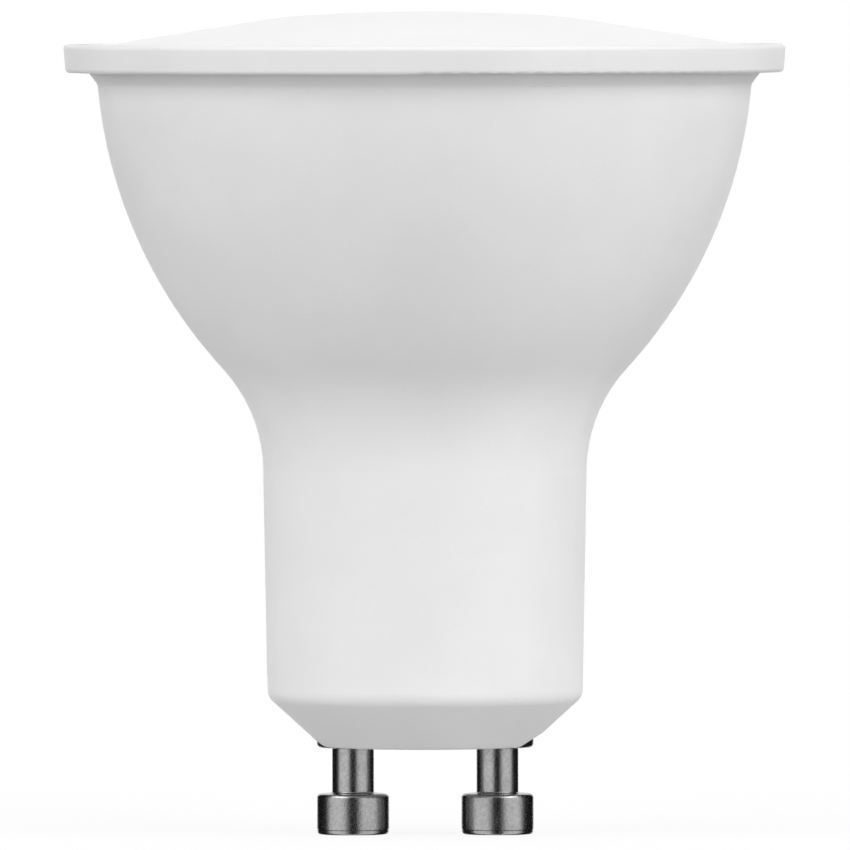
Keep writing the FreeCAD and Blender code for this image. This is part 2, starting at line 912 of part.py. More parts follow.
def neutral_wire():
    """Tinned wire from the left pin into the board."""
    x = -pin_spacing / 2
    return bent_wire(neutral_wire_radius, neutral_bend_radius, [
        point(x, pin_top_z - neutral_depth_in_pin),
        point(x, neutral_z()),
        at(x, board_back_y() - lead_stub, neutral_z()),
    ])


def capacitor_can(radius, length):
    """Aluminium can with its crimp groove and recessed end, standing on z = 0."""
    outline = [
        (0, 0),
        (radius, 0),
        (radius, length - cap_groove_distance - cap_groove_height),
        (radius - cap_groove_depth, length - cap_groove_distance - cap_groove_height / 2),
        (radius, length - cap_groove_distance),
        (radius, length),
        (radius - cap_cover_rim, length),
        (radius - cap_cover_rim, length - cap_cover_depth),
        (0, length - cap_cover_depth),
    ]
    return rounded(turned(outline), cap_rounding, (radius, 0))


def input_capacitor():
    """Electrolytic capacitor along the board, with its leads bent into it."""
    low = board_bottom_z + input_cap_lift
    y = input_cap_y()
    can = moved(capacitor_can(input_cap_radius, input_cap_length), input_cap_x, y, low)
    leads = []
    for x, z in pair(input_cap_x, input_cap_lead_z(), input_cap_pitch):
        leads.append(bent_wire(lead_radius, lead_bend_radius, [
            at(x, y, input_cap_top_z() - lead_root),
            at(x, y, z),
            at(x, board_back_y() - lead_stub, z),
        ]))
    return can.fuse(leads).removeSplitter()


def output_capacitor():
    """Small electrolytic capacitor that stands on the board."""
    can = capacitor_can(output_cap_radius, output_cap_height)
    can.rotate(ORIGIN, at(1, 0, 0), 90)
    y = board_front_y() + output_cap_height
    can = moved(can, output_cap_x, y, head_middle_z)
    inside = board_front_y() + lead_root
    leads = straight_leads(output_cap_x, head_middle_z, output_cap_pitch, lead_radius, inside)
    return can.fuse(leads).removeSplitter()


def film_capacitor():
    """Box capacitor with rounded upright edges."""
    x = film_cap_x()
    half_x = film_cap_width / 2
    half_z = film_cap_thickness / 2
    front = board_front_y()
    low = head_middle_z - half_z
    body = block(x - half_x, x + half_x, front, front + film_cap_height, low, low + film_cap_thickness)
    corners = [edge for edge in body.Edges if abs(edge.Length - film_cap_height) < 1e-6]
    body = body.makeFillet(film_cap_rounding, corners)
    leads = straight_leads(x, head_middle_z, film_cap_pitch, lead_radius, front + lead_root)
    return body.fuse(leads).removeSplitter()


def choke_core():
    """Ferrite drum with two leads in its lower flange."""
    x = choke_x()
    front = board_front_y()
    lower_top = front + choke_flange_thickness
    upper_low = front + choke_height - choke_flange_thickness
    z = head_middle_z
    lower = rod(choke_flange_radius, at(x, front, z), at(x, lower_top, z))
    hub = rod(choke_hub_radius, at(x, lower_top, z), at(x, upper_low, z))
    upper = rod(choke_flange_radius, at(x, upper_low, z), at(x, front + choke_height, z))
    leads = straight_leads(x, z, choke_lead_pitch, lead_radius, front + choke_flange_thickness / 2)
    return lower.fuse([hub, upper] + leads).removeSplitter()


def choke_winding():
    """Enamelled copper winding between the drum's flanges."""
    x = choke_x()
    z = head_middle_z
    low = board_front_y() + choke_flange_thickness + choke_winding_gap
    high = board_front_y() + choke_height - choke_flange_thickness - choke_winding_gap
    inner = choke_hub_radius + choke_winding_gap
    return tube(choke_winding_radius, inner, at(x, low, z), at(x, high, z))


def leg(side, x, z):
    """A bent leg of a surface part: out of its body at x, down, and a foot on the board."""
    back = board_back_y()
    high = back - leg_rise
    steps = [
        (-leg_foot / 2, high),
        (leg_reach - leg_foot, high),
        (leg_reach - leg_foot, back),
        (leg_reach, back),
        (leg_reach, back - leg_thickness),
        (leg_reach - leg_foot + leg_thickness, back - leg_thickness),
        (leg_reach - leg_foot + leg_thickness, high - leg_thickness),
        (-leg_foot / 2, high - leg_thickness),
    ]
    corners = [at(x + side * out, y, z - leg_width / 2) for out, y in steps]
    return polygon(corners).extrude(AXIS * leg_width)


def surface_part(x, z, width, length, height, leg_places):
    """A moulded body on the board's back with legs on both sides, at places along Z."""
    back = board_back_y()
    left = x - width / 2
    right = x + width / 2
    body = block(left, right, back - height, back - leg_thickness, z - length / 2, z + length / 2)
    legs = []
    for place in leg_places:
        legs.append(leg(1, right, z + place))
        legs.append(leg(-1, left, z + place))
    return body.fuse(legs).removeSplitter()


def bridge_rectifier():
    places = [-rectifier_leg_pitch / 2, rectifier_leg_pitch / 2]
    z = board_bottom_z + rectifier_lift
    return surface_part(0, z, rectifier_width, rectifier_length, rectifier_height, places)


def driver_chip():
    middle = (driver_chip_leg_rows - 1) / 2
    places = [driver_chip_leg_pitch * (row - middle) for row in range(driver_chip_leg_rows)]
    z = board_bottom_z + driver_chip_lift
    return surface_part(0, z, driver_chip_width, driver_chip_length, driver_chip_height, places)


def output_diode():
    z = board_bottom_z + diode_lift
    return surface_part(diode_x, z, diode_width, diode_length, diode_height, [0])


def chip_resistors():
    """A column of chip resistors with raised metal ends on the board's back."""
    back = board_back_y()
    half = chip_resistor_width / 2
    parts = []
    for number in range(chip_resistor_count):
        z = board_bottom_z + chip_resistor_lift + number * chip_resistor_spacing
        low = chip_resistor_x - chip_resistor_length / 2
        high = chip_resistor_x + chip_resistor_length / 2
        end = back - chip_resistor_height
        middle = end + chip_resistor_cap_rise
        body = block(low, high, middle, back, z - half, z + half)
        left = block(low, low + chip_resistor_cap, end, back, z - half, z + half)
        right = block(high - chip_resistor_cap, high, end, back, z - half, z + half)
        parts.append(body.fuse([left, right]).removeSplitter())
    return Part.makeCompound(parts)


def lead_wire(side):
    """Insulated wire from the driver board's back, up the hole and on to the light board."""
    y = lead_wire_y()
    x = side * lead_wire_spacing / 2
    level = light_face_z + lead_wire_gap + lead_wire_radius
    turn_x = lead_wire_hole_radius + lead_wire_turn_gap
    bend = turn_x - lead_wire_spacing / 2
    end = side * (turn_x + lead_wire_run)
    tip = end + side * lead_wire_bare
    insulated = bent_wire(lead_wire_radius, bend, [
        at(x, y, board_top_z - lead_wire_start),
        at(x, y, level),
        at(end, y, level),
    ])
    core = rod(lead_wire_core_radius, at(end - side * bend, y, level), at(tip, y, level))
    return insulated.fuse(core).removeSplitter()


def build():
    """Every piece by the name of its node."""
    pin = contact_pin()
    return {
        "housing": housing(),
        "diffuser": diffuser(),
        "contact_pin_left": moved(pin, x=-pin_spacing / 2),
        "contact_pin_right": moved(pin, x=pin_spacing / 2),
        "heat_spreader": heat_spreader(),
        "light_board": light_board(),
        "light_packages": light_packages(),
        "board_screws": board_screws(),
        "driver_board": driver_board(),
        "fusible_resistor": fusible_resistor(),
        "fuse_sleeve": fuse_sleeve(),
        "neutral_wire": neutral_wire(),
        "input_capacitor": input_capacitor(),
        "output_capacitor": output_capacitor(),
        "film_capacitor": film_capacitor(),
        "choke_core": choke_core(),
        "choke_winding": choke_winding(),
        "bridge_rectifier": bridge_rectifier(),
        "driver_chip": driver_chip(),
        "output_diode": output_diode(),
        "chip_resistors": chip_resistors(),
        "lead_wire_positive": lead_wire(1),
        "lead_wire_negative": lead_wire(-1),
    }


def main():
    os.makedirs("parts", exist_ok=True)
    for name, shape in build().items():
        shape.exportStep("parts/" + name + ".step")


main()
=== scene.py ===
import math

import bmesh
import bpy
from mathutils import Matrix, Vector


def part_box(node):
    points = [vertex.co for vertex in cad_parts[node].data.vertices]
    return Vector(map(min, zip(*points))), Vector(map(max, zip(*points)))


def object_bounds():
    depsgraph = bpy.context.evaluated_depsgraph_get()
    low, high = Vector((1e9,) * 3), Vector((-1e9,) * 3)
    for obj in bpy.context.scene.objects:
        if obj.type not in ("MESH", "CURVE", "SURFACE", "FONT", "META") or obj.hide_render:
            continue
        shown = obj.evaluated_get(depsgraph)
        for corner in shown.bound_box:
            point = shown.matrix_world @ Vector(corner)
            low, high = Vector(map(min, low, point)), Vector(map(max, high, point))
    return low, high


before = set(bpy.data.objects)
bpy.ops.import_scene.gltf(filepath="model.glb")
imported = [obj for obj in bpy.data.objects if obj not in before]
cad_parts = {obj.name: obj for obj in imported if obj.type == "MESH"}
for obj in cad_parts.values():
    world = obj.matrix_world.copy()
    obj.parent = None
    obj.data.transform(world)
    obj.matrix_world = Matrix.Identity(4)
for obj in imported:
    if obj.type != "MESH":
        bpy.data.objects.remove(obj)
cad_low, cad_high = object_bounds()

MM = 0.001

# The photograph's camera: far away and a little above the lamp
PHOTO_WIDTH = 850
PHOTO_PIXELS_PER_MM = 14.45
PHOTO_AXIS_X = 424.9
PHOTO_FLOOR_Y = 834.5
CAMERA_DISTANCE = 1.5
CAMERA_HEIGHT = 63.4 * MM
CAMERA_ROLL = math.radians(-0.06)
CAMERA_NEAR = 0.01
CAMERA_FAR = 10.0
SENSOR_WIDTH = 36.0

# Softboxes: name, azimuth (0 at the camera, 90 to the right), elevation, width, height, power in watts
LIGHT_DISTANCE = 0.6
LIGHTS = [
    ("left_box", -56, 15, 0.8, 0.6, 4.1),
    ("right_box", 56, 15, 0.8, 0.6, 4.65),
    ("top_box", 0, 88, 0.6, 0.6, 1.5),
    ("left_rim_box", -125, 15, 0.5, 0.7, 0.5),
    ("right_rim_box", 125, 15, 0.5, 0.7, 0.5),
    ("back_box", 180, 15, 0.8, 0.6, 1.3),
]
FILL_STRENGTH = 0.03

# Tent that only mirror-like rays see. Its boards and flags end at these angles, in degrees round from
# the camera or above the floor, and each edge fades over its softness.
TENT_RADIUS = 0.45
TENT_FRONT_FLAG_EDGE = 21.0
TENT_FRONT_FLAG_SOFTNESS = 11.0
TENT_SIDE_FLAG_EDGE = 84.0
TENT_SIDE_FLAG_SOFTNESS = 12.0
TENT_REAR_BOARD_EDGE = 158.0
TENT_REAR_BOARD_SOFTNESS = 4.0
TENT_BOARD_LIGHT = 0.95
TENT_FLAG_LIGHT = 0.012
TENT_REAR_LIGHT = 1.0
TENT_OVERHEAD_LIGHT = 3.4
TENT_OVERHEAD_LOW = 37.0
TENT_OVERHEAD_HIGH = 65.0
TENT_OVERHEAD_SOFTNESS = 10.0

# Floor, just clear of the pins' ends
FLOOR_HALF = 0.8
FLOOR_DROP = 0.02 * MM
FLOOR_CARD_RADIUS = 0.09
FLOOR_CARD_SOFTNESS = 0.02
FLOOR_CARD_GREY = 0.55
FLOOR_TABLE_GREY = 0.15
FLOOR_WHITENESS = 0.88
FLOOR_FADE_START = 0.03
FLOOR_FADE_END = 0.12

# Shares of a finish's noise at which it shows its dull and its bright shade
DULL_SPOTS = 0.3
BRIGHT_SPOTS = 0.7

# Bare aluminium and tinned copper, from their dull to their bright shade
ALUMINIUM = ((0.62, 0.63, 0.64), (0.80, 0.81, 0.82))
TIN = ((0.52, 0.52, 0.51), (0.72, 0.72, 0.71))

# Lower rounding of the flange, as the CAD model has it: the middle of its arc, and the height at which
# it meets the drafted side
FLANGE_EDGE_CENTRE_RADIUS = 24.563 * MM
FLANGE_EDGE_CENTRE_Z = 53.05 * MM
FLANGE_EDGE_TOP_Z = 53.025 * MM

# Sizes of the inner pieces that a finish changes at, as the CAD model has them
RESISTOR_SLEEVE_OVERHANG = 0.6 * MM
PART_LEG_REACH = 1.0 * MM
CHIP_RESISTOR_CAP = 0.4 * MM
INPUT_CAN_RADIUS = 4.0 * MM
INPUT_CAN_LENGTH = 11.0 * MM
OUTPUT_CAN_RADIUS = 2.5 * MM
CAN_COVER_RIM = 0.9 * MM
CAN_COVER_DEPTH = 0.3 * MM
CAN_STRIPE_EDGE = 0.94  # of the radius
LED_COUNT = 12
LED_WINDOW_RADIUS = 1.05 * MM
LED_LENGTH = 3.5 * MM
SCREW_SHANK_LENGTH = 6.0 * MM
LEAD_WIRE_BARE = 0.7 * MM
RESIST_THICKNESS = 0.06 * MM

# Reliefs too fine for the CAD model: how far apart their waves are, and how deep
CHOKE_WIRE = 0.35 * MM
CHOKE_WIRE_DEPTH = 0.1 * MM
SCREW_PITCH = 0.6 * MM
SCREW_THREAD_DEPTH = 0.12 * MM
DRAWN_RING_PITCH = 0.4 * MM
DRAWN_RING_DEPTH = 0.002 * MM
GLASS_WEAVE_PITCH = 0.6 * MM
GLASS_WEAVE_DEPTH = 0.01 * MM


def photo_camera():
    """The camera at the photograph's angle, tilted so that the pins' ends fall where they do there."""
    view_width = PHOTO_WIDTH / PHOTO_PIXELS_PER_MM * MM
    middle = PHOTO_WIDTH / 2
    aim_x = (middle - PHOTO_AXIS_X) / PHOTO_PIXELS_PER_MM * MM
    aim_z = (PHOTO_FLOOR_Y - middle) / PHOTO_PIXELS_PER_MM * MM
    data = bpy.data.cameras.new("photo_camera")
    data.sensor_width = SENSOR_WIDTH
    data.lens = SENSOR_WIDTH * CAMERA_DISTANCE / view_width
    data.clip_start = CAMERA_NEAR
    data.clip_end = CAMERA_FAR
    camera = bpy.data.objects.new("photo_camera", data)
    bpy.context.scene.collection.objects.link(camera)
    camera.location = Vector((aim_x, -CAMERA_DISTANCE, CAMERA_HEIGHT))
    aim = Vector((aim_x, 0, aim_z)) - camera.location
    turn = aim.to_track_quat("-Z", "Y").to_matrix() @ Matrix.Rotation(CAMERA_ROLL, 3, "Z")
    camera.rotation_euler = turn.to_euler()
    bpy.context.scene.camera = camera


class Nodes:
    """A node tree with short ways to add and link its nodes."""

    def __init__(self, tree):
        tree.nodes.clear()
        self.tree = tree

    def add(self, kind, inputs=None, **settings):
        node = self.tree.nodes.new("ShaderNode" + kind)
        for name, value in settings.items():
            setattr(node, name, value)
        for name, value in (inputs or {}).items():
            self.give(node.inputs[name], value)
        return node

    def give(self, socket, value):
        """Set a socket to a value, or link it to another node's output."""
        if isinstance(value, bpy.types.NodeSocket):
            self.tree.links.new(value, socket)
        else:
            socket.default_value = value

    def math(self, operation, *values):
        return self.add("Math", dict(enumerate(values)), operation=operation).outputs[0]

    def weigh(self, first, second, share):
        """The sum of two values, with the given share of the second."""
        rest = self.math("MULTIPLY", first, 1 - share)
        return self.math("ADD", rest, self.math("MULTIPLY", second, share))

    def ease(self, value, low, high, start=0.0, end=1.0):
        """A smooth step from start to end as the value goes from low to high."""
        inputs = {"Value": value, "From Min": low, "From Max": high, "To Min": start, "To Max": end}
        return self.add("MapRange", inputs, interpolation_type="SMOOTHSTEP").outputs["Result"]

    def vector(self, operation, *values, **inputs):
        """A vector worked out from others, and from inputs given by name."""
        inputs.update(enumerate(values))
        return self.add("VectorMath", inputs, operation=operation).outputs["Vector"]

    def length(self, vector):
        return self.add("VectorMath", {0: vector}, operation="LENGTH").outputs["Value"]

    def dot(self, first, second):
        """How far the first vector goes along the second one."""
        return self.add("VectorMath", {0: first, 1: second}, operation="DOT_PRODUCT").outputs["Value"]

    def place(self):
        """Where the surface is on the lamp, in metres."""
        return self.add("TexCoord").outputs["Object"]

    def axes(self):
        """The three coordinates of the place."""
        return self.add("SeparateXYZ", {"Vector": self.place()}).outputs

    def from_axis(self):
        """The way out from the lamp's axis to the place, level with the floor."""
        axes = self.axes()
        return self.add("CombineXYZ", {"X": axes["X"], "Y": axes["Y"]}).outputs[0]

    def noise(self, size, detail=2.0, roughness=0.5):
        """Cloudy noise with spots of about the given size in metres."""
        inputs = {"Vector": self.place(), "Scale": 1 / size, "Detail": detail, "Roughness": roughness}
        return self.add("TexNoise", inputs).outputs["Fac"]

    def shades(self, factor, *stops):
        """A colour from grey or (r, g, b) stops, each given as (position, colour)."""
        ramp = self.add("ValToRGB", {"Fac": factor})
        elements = ramp.color_ramp.elements
        while len(elements) < len(stops):
            elements.new(0.5)
        for element, (position, colour) in zip(elements, stops):
            element.position = position
            element.color = (colour,) * 3 + (1,) if isinstance(colour, float) else tuple(colour) + (1,)
        return ramp.outputs["Color"]

    def tint(self, noise, dull, bright):
        """A colour that wanders with the noise from the dull shade to the bright one."""
        return self.shades(noise, (DULL_SPOTS, dull), (BRIGHT_SPOTS, bright))

    def wander(self, noise, dull, bright):
        """A value that wanders with the noise as a tint does."""
        return self.ease(noise, DULL_SPOTS, BRIGHT_SPOTS, dull, bright)

    def blend(self, factor, first, second):
        """The first colour at factor 0 and the second at 1."""
        return self.add("MixRGB", {"Fac": factor, "Color1": first, "Color2": second}).outputs["Color"]

    def waves(self, value, pitch):
        """A wave from 0 to 1 that repeats at the pitch."""
        turn = self.math("SINE", self.math("MULTIPLY", value, 2 * math.pi / pitch))
        return self.math("MULTIPLY_ADD", turn, 0.5, 0.5)

    def bump(self, height, depth, below=None):
        """A normal from a height of 0 to 1 that stands for the depth in metres."""
        inputs = {"Height": height, "Distance": depth, "Strength": 1.0}
        if below is not None:
            inputs["Normal"] = below
        return self.add("Bump", inputs).outputs["Normal"]


def backdrop_factor(nodes):
    """1 for the rays that see the background itself: camera, mirror-like and transmitted ones."""
    path = nodes.add("LightPath").outputs
    seen = nodes.math("MAXIMUM", path["Is Camera Ray"], path["Is Transmission Ray"])
    return nodes.math("MAXIMUM", seen, path["Is Glossy Ray"])


def white_world():
    world = bpy.data.worlds.new("studio")
    bpy.context.scene.world = world
    world.use_nodes = True
    nodes = Nodes(world.node_tree)
    seen = nodes.add("Background", {"Color": (1, 1, 1, 1), "Strength": 1.0}).outputs[0]
    fill = nodes.add("Background", {"Color": (1, 1, 1, 1), "Strength": FILL_STRENGTH}).outputs[0]
    both = nodes.add("MixShader", {"Fac": backdrop_factor(nodes), 1: fill, 2: seen}).outputs[0]
    nodes.add("OutputWorld", {"Surface": both})


def softbox(name, azimuth, elevation, width, height, power):
    """An area light that faces the middle of the lamp. The tent stands for it in reflections."""
    data = bpy.data.lights.new(name, "AREA")
    data.shape = "RECTANGLE"
    data.size = width
    data.size_y = height
    data.energy = power
    light = bpy.data.objects.new(name, data)
    bpy.context.scene.collection.objects.link(light)
    light.visible_glossy = False
    light.visible_camera = False
    a, e = math.radians(azimuth), math.radians(elevation)
    offset = Vector((math.sin(a) * math.cos(e), -math.cos(a) * math.cos(e), math.sin(e)))
    light.location = (cad_low + cad_high) / 2 + offset * LIGHT_DISTANCE
    light.rotation_euler = (-offset).to_track_quat("-Z", "Y").to_euler()


def tent():
    """A sphere round the lamp, seen only in reflections."""
    mesh = bpy.data.meshes.new("tent")
    sphere = bpy.data.objects.new("tent", mesh)
    build = bmesh.new()
    bmesh.ops.create_icosphere(build, subdivisions=4, radius=TENT_RADIUS)
    build.to_mesh(mesh)
    build.free()
    bpy.context.scene.collection.objects.link(sphere)
    mesh.materials.append(tent_material())
    for ray in ("camera", "diffuse", "transmission", "volume_scatter", "shadow"):
        setattr(sphere, "visible_" + ray, False)


def soft_edge(nodes, value, edge, softness):
    """A step from 0 to 1 at an edge that fades over the softness to both sides."""
    return nodes.ease(value, edge - softness, edge + softness)


def tent_material():
    """A bright board at each side, brighter overhead, and one behind the lamp, between dark flags."""
    material = bpy.data.materials.new("tent")
    material.use_nodes = True
    material.cycles.emission_sampling = "NONE"
    nodes = Nodes(material.node_tree)
    axes = nodes.axes()
    side = nodes.math("ABSOLUTE", axes["X"])
    turn = nodes.math("ARCTAN2", side, nodes.math("MULTIPLY", axes["Y"], -1.0))
    azimuth = nodes.math("DEGREES", turn)
    rise = nodes.math("ARCSINE", nodes.math("DIVIDE", axes["Z"], TENT_RADIUS))
    elevation = nodes.math("DEGREES", rise)
    past_front = soft_edge(nodes, azimuth, TENT_FRONT_FLAG_EDGE, TENT_FRONT_FLAG_SOFTNESS)
    past_side = soft_edge(nodes, azimuth, TENT_SIDE_FLAG_EDGE, TENT_SIDE_FLAG_SOFTNESS)
    from_low = soft_edge(nodes, elevation, TENT_OVERHEAD_LOW, TENT_OVERHEAD_SOFTNESS)
    past_high = soft_edge(nodes, elevation, TENT_OVERHEAD_HIGH, TENT_OVERHEAD_SOFTNESS)
    overhead = nodes.math("SUBTRACT", from_low, past_high)
    extra = TENT_OVERHEAD_LIGHT - TENT_BOARD_LIGHT
    board_light = nodes.math("MULTIPLY_ADD", overhead, extra, TENT_BOARD_LIGHT)
    past_rear = soft_edge(nodes, azimuth, TENT_REAR_BOARD_EDGE, TENT_REAR_BOARD_SOFTNESS)
    rear = nodes.math("MULTIPLY", past_rear, TENT_REAR_LIGHT)
    on_board = nodes.math("MULTIPLY", past_front, nodes.math("SUBTRACT", 1.0, past_side))
    boards = nodes.math("MULTIPLY", on_board, board_light)
    light = nodes.math("ADD", nodes.math("ADD", boards, rear), TENT_FLAG_LIGHT)
    glow = nodes.add("Emission", {"Color": (1, 1, 1, 1), "Strength": light}).outputs[0]
    nodes.add("OutputMaterial", {"Surface": glow})
    return material


def floor():
    """A white sheet under the lamp that fades into the background."""
    mesh = bpy.data.meshes.new("floor")
    sheet = bpy.data.objects.new("floor", mesh)
    build = bmesh.new()
    bmesh.ops.create_grid(build, x_segments=1, y_segments=1, size=FLOOR_HALF)
    bmesh.ops.translate(build, verts=build.verts, vec=(0, 0, -FLOOR_DROP))
    build.to_mesh(mesh)
    build.free()
    bpy.context.scene.collection.objects.link(sheet)
    mesh.materials.append(floor_material())
    sheet.visible_glossy = False


def floor_material():
    """A grey card on a darker table to light the lamp from below, and a white sheet to the camera.

    From below it is clear, so that the lamp's underside can be seen.
    """
    material = bpy.data.materials.new("floor")
    material.use_nodes = True
    nodes = Nodes(material.node_tree)
    distance = nodes.length(nodes.place())
    card = soft_edge(nodes, distance, FLOOR_CARD_RADIUS, FLOOR_CARD_SOFTNESS)
    grey = nodes.shades(card, (0.0, FLOOR_CARD_GREY), (1.0, FLOOR_TABLE_GREY))
    underlight = nodes.add("BsdfDiffuse", {"Color": grey}).outputs[0]
    paper = nodes.add("BsdfDiffuse", {"Color": (1, 1, 1, 1)}).outputs[0]
    white = nodes.add("Emission", {"Color": (1, 1, 1, 1), "Strength": 1.0}).outputs[0]
    whiteness = nodes.ease(distance, FLOOR_FADE_START, FLOOR_FADE_END, FLOOR_WHITENESS, 1.0)
    sheet = nodes.add("MixShader", {"Fac": whiteness, 1: paper, 2: white}).outputs[0]
    seen = nodes.add("LightPath").outputs["Is Camera Ray"]
    both = nodes.add("MixShader", {"Fac": seen, 1: underlight, 2: sheet}).outputs[0]
    clear = nodes.add("BsdfTransparent").outputs[0]
    from_below = nodes.add("NewGeometry").outputs["Backfacing"]
    one_sided = nodes.add("MixShader", {"Fac": from_below, 1: both, 2: clear}).outputs[0]
    nodes.add("OutputMaterial", {"Surface": one_sided})
    return material


def studio():
    white_world()
    for light in LIGHTS:
        softbox(*light)
    tent()
    floor()


def new_finish(name, values):
    """A material with one shader. The values are set on the shader's own sockets."""
    material = bpy.data.materials.new(name)
    material.use_nodes = True
    nodes = Nodes(material.node_tree)
    shader = nodes.add("BsdfPrincipled")
    for socket, value in values.items():
        shader.inputs[socket].default_value = value
    nodes.add("OutputMaterial", {"Surface": shader.outputs["BSDF"]})
    return material, nodes, shader.inputs


def flange_edge_normal(nodes):
    """The surface's normal, exact on the flange's lower rounding, where the mesh's own one wavers."""
    z = nodes.axes()["Z"]
    from_axis = nodes.from_axis()
    out = nodes.math("SUBTRACT", nodes.length(from_axis), FLANGE_EDGE_CENTRE_RADIUS)
    sideways = nodes.vector("SCALE", nodes.vector("NORMALIZE", from_axis), Scale=out)
    rise = nodes.math("SUBTRACT", z, FLANGE_EDGE_CENTRE_Z)
    upward = nodes.add("CombineXYZ", {"Z": rise}).outputs[0]
    exact = nodes.vector("NORMALIZE", nodes.vector("ADD", sideways, upward))
    low_enough = nodes.math("LESS_THAN", z, FLANGE_EDGE_TOP_Z)
    on_edge = nodes.math("MULTIPLY", low_enough, nodes.math("GREATER_THAN", out, 0.0))
    return nodes.blend(on_edge, nodes.add("NewGeometry").outputs["Normal"], exact)


def scatter(weight, depth):
    """Shader values that let light of every colour spread under the surface, to the depth in metres."""
    return {"Subsurface Weight": weight, "Subsurface Scale": depth, "Subsurface Radius": (1.0, 1.0, 1.0)}


def satin_white_plastic():
    """Moulded housing: even white with a very fine satin grain and slow waves from the cooling.

    The bump correction would bring back the shade of the mesh's own normals on the flange's edge.
    """
    material, nodes, shader = new_finish("satin_white_plastic", {"IOR": 1.5, **scatter(0.4, 0.8 * MM)})
    material.cycles.use_bump_map_correction = False
    grain = nodes.noise(0.16 * MM, detail=2.0)
    cloud = nodes.noise(6 * MM, detail=3.0)
    tone = nodes.weigh(grain, cloud, 0.65)
    nodes.give(shader["Base Color"], nodes.tint(tone, 0.80, 0.84))
    nodes.give(shader["Roughness"], nodes.wander(tone, 0.46, 0.56))
    waves = nodes.bump(cloud, 0.02 * MM, below=flange_edge_normal(nodes))
    nodes.give(shader["Normal"], nodes.bump(grain, 0.004 * MM, below=waves))
    return material


def opal_plastic():
    """Diffuser: whiter and smoother than the housing, and light goes deeper into it."""
    material, nodes, shader = new_finish("opal_plastic", {"IOR": 1.52, **scatter(0.2, 2.0 * MM)})
    grain = nodes.noise(0.25 * MM, detail=2.0)
    cloud = nodes.noise(9 * MM, detail=2.0)
    nodes.give(shader["Base Color"], nodes.tint(cloud, 0.88, 0.90))
    nodes.give(shader["Roughness"], nodes.wander(grain, 0.34, 0.42))
    nodes.give(shader["Normal"], nodes.bump(grain, 0.003 * MM))
    return material


def contact_nickel():
    """Turned pins: satin nickel with the mottle and fine pits of barrel plating."""
    material, nodes, shader = new_finish("contact_nickel", {"Metallic": 1.0})
    mottle = nodes.noise(0.22 * MM, detail=4.0, roughness=0.65)
    patches = nodes.noise(1.3 * MM, detail=3.0)
    tone = nodes.weigh(mottle, patches, 0.3)
    dull, bright = 0.35, 0.65
    nodes.give(shader["Base Color"], nodes.shades(tone, (dull, 0.36), (bright, 0.50)))
    nodes.give(shader["Roughness"], nodes.ease(tone, dull, bright, 0.28, 0.18))
    nodes.give(shader["Normal"], nodes.bump(mottle, 0.012 * MM))
    return material


def surface(name, shades, roughness, grain, depth, metallic=0.0,
            metal=None, metal_shades=TIN, relief=None):
    """A finish whose colour, roughness and height wander with a grain, its size and depth in metres.

    metal is a function that gives 1 where the piece is bare metal instead. relief is a function that
    gives a wave and its depth in metres.
    """
    material, nodes, shader = new_finish(name, {"Metallic": metallic})
    tone = nodes.noise(grain, detail=3.0)
    colour = nodes.tint(tone, *shades)
    if metal:
        bare = metal(nodes)
        colour = nodes.blend(bare, colour, nodes.tint(tone, *metal_shades))
        nodes.give(shader["Metallic"], bare)
    nodes.give(shader["Base Color"], colour)
    nodes.give(shader["Roughness"], nodes.wander(tone, *roughness))
    normal = nodes.bump(tone, depth)
    if relief:
        wave, height = relief(nodes)
        normal = nodes.bump(wave, height, below=normal)
    nodes.give(shader["Normal"], normal)
    return material


def ends_along_x(node, reach):
    """Gives 1 within the reach from the node's two ends along X."""
    low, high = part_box(node)

    def mask(nodes):
        offset = nodes.math("SUBTRACT", nodes.axes()["X"], (low.x + high.x) / 2)
        return nodes.math("GREATER_THAN", nodes.math("ABSOLUTE", offset), (high.x - low.x) / 2 - reach)
    return mask


def from_board_back(nodes):
    """Gives 1 on leads, from the driver board's front face to the back."""
    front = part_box("driver_board")[1].y
    return nodes.math("LESS_THAN", nodes.axes()["Y"], front)


def past_sleeve(nodes):
    """Gives 1 on the fusible resistor's leads, past the ends of its body."""
    low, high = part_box("fuse_sleeve")
    z = nodes.axes()["Z"]
    below = nodes.math("LESS_THAN", z, low.z + RESISTOR_SLEEVE_OVERHANG)
    above = nodes.math("GREATER_THAN", z, high.z - RESISTOR_SLEEVE_OVERHANG)
    return nodes.math("MAXIMUM", below, above)


def below_board_face(nodes):
    """Gives 1 on the light board's aluminium, under its white face."""
    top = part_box("light_board")[1].z
    return nodes.math("LESS_THAN", nodes.axes()["Z"], top - RESIST_THICKNESS)


def bare_wire_end(node):
    """Gives 1 on the stripped end of a lead wire, the end farther from the lamp's axis."""
    low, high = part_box(node)
    reach = max(abs(low.x), abs(high.x)) - LEAD_WIRE_BARE

    def mask(nodes):
        return nodes.math("GREATER_THAN", nodes.math("ABSOLUTE", nodes.axes()["X"]), reach)
    return mask


def drawn_rings(nodes):
    """Faint rings round the axis that a pressing tool leaves."""
    return nodes.waves(nodes.length(nodes.from_axis()), DRAWN_RING_PITCH), DRAWN_RING_DEPTH


def wire_turns(nodes):
    """Turns of the choke's wire, side by side."""
    return nodes.waves(nodes.axes()["Y"], CHOKE_WIRE), CHOKE_WIRE_DEPTH


def screw_thread(nodes):
    """Turns along the screws' shanks, none on their heads."""
    head_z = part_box("board_screws")[0].z + SCREW_SHANK_LENGTH
    z = nodes.axes()["Z"]
    on_shank = nodes.math("LESS_THAN", z, head_z)
    return nodes.math("MULTIPLY", nodes.waves(z, SCREW_PITCH), on_shank), SCREW_THREAD_DEPTH


